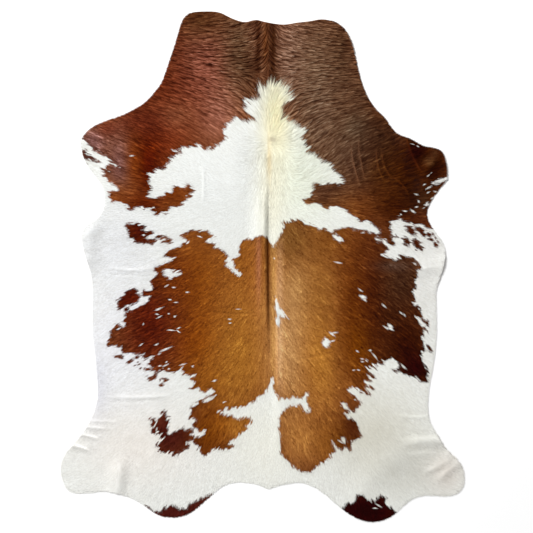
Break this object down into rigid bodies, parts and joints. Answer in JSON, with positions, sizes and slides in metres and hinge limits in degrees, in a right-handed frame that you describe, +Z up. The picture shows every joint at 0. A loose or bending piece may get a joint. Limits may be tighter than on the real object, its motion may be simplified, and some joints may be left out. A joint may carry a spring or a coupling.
{
  "type": "cowhide rug",
  "caption": "Natural hide rug with its short hair on, cut to the outline of neck, legs and rump, laid flat on a floor.",
  "frame": {"origin": "middle of the rug's box, on the floor under it", "axes": "+Y along the spine towards the neck, +Z up, coat side up"},
  "size_m": [1.757, 2.22, 0.026],
  "materials": {
    "hide": "short glossy hair, brown with white patches"
  },
  "bodies": {
    "root": {"cowhide": "hide"}
  },
  "joints": []
}
